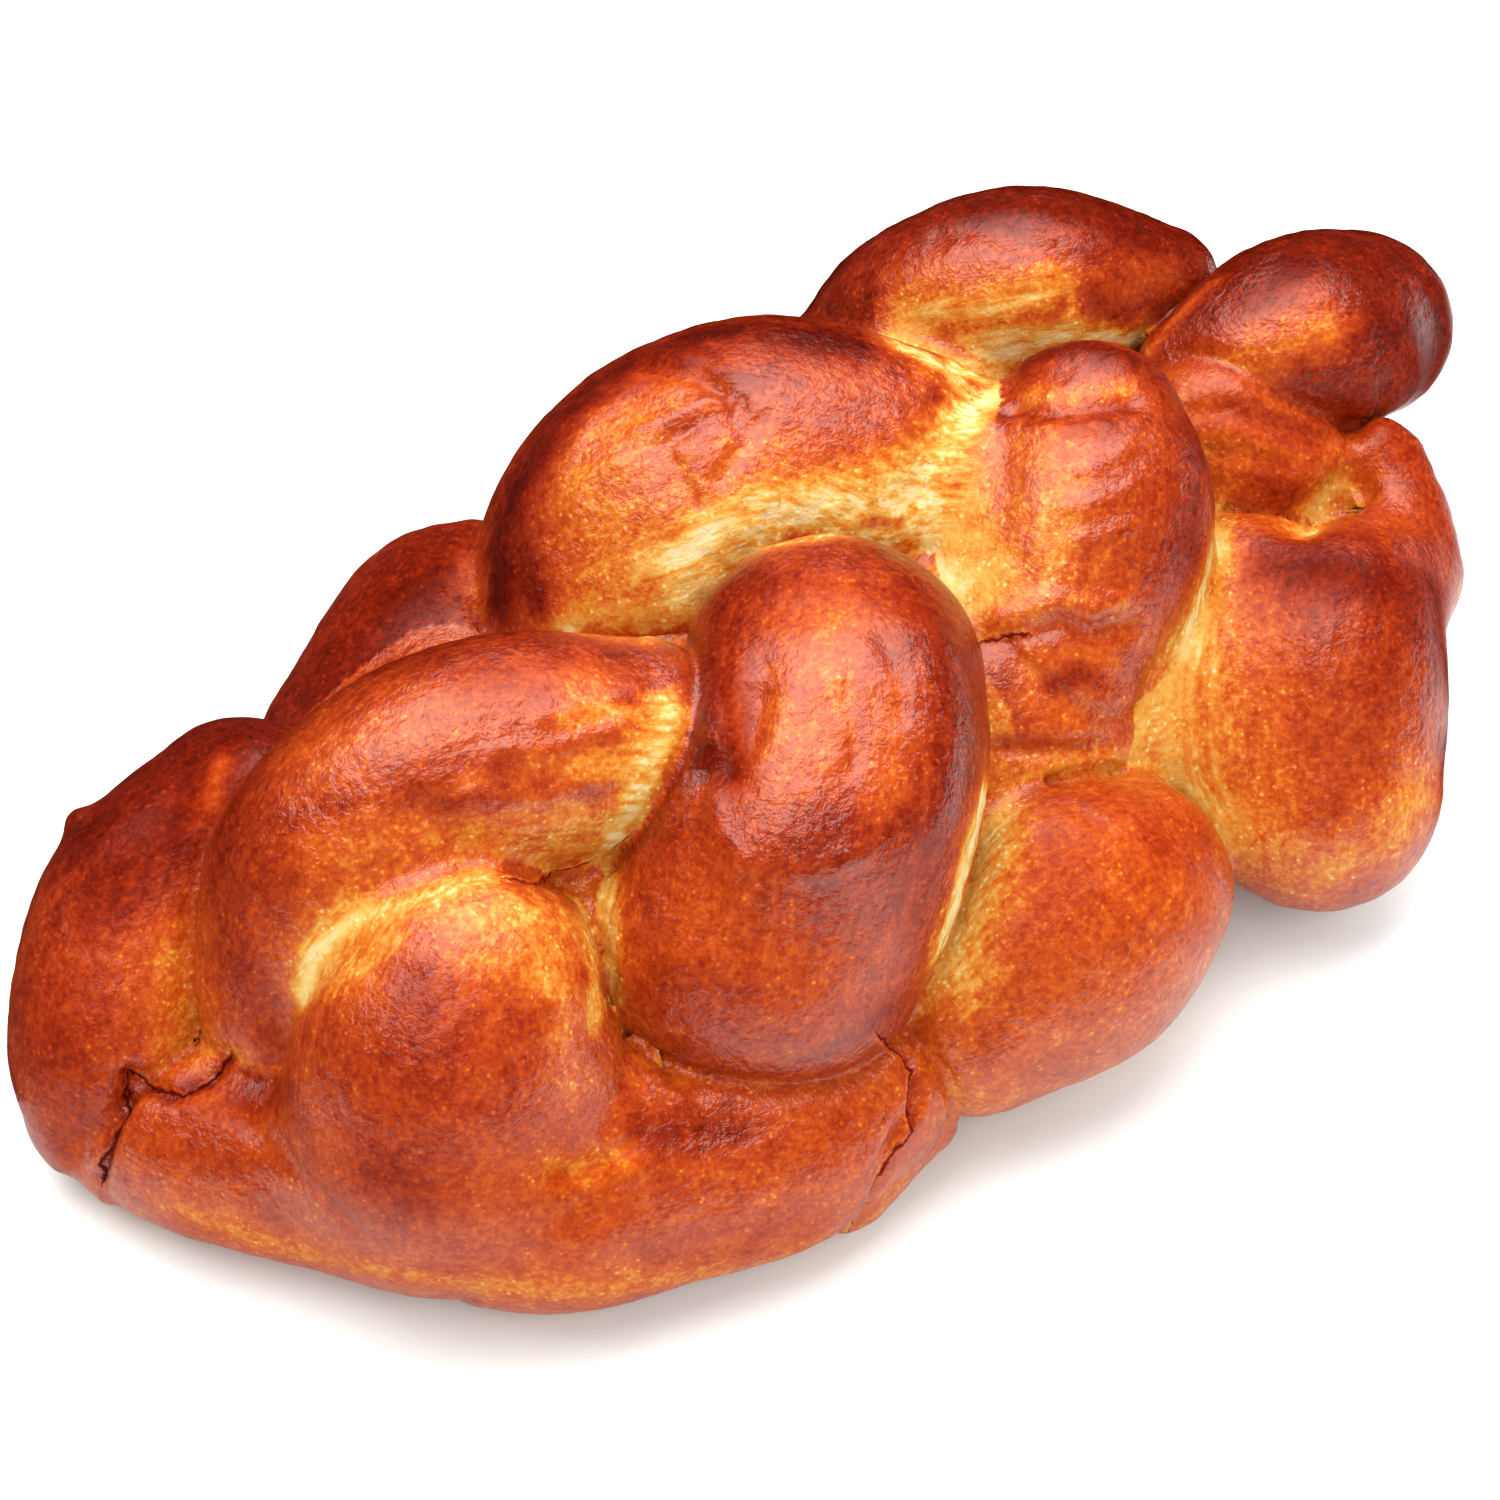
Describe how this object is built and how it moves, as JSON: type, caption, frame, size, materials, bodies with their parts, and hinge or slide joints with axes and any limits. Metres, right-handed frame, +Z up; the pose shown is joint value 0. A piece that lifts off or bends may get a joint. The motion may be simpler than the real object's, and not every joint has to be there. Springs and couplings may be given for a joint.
{
  "type": "egg challah",
  "caption": "Whole plaited egg loaf with fat overlapping strands, a glossy browned crust and a flat underside to rest on.",
  "frame": {"origin": "centre of the bounding box on the flat underside", "axes": "+X along the loaf towards its raised knob end, +Z up; the rounded near end is at -X"},
  "size_m": [0.3056, 0.1699, 0.1006],
  "materials": {
    "crust": "egg-washed golden brown crust with a soft gloss"
  },
  "bodies": {
    "root": {"loaf": "crust"}
  },
  "joints": []
}
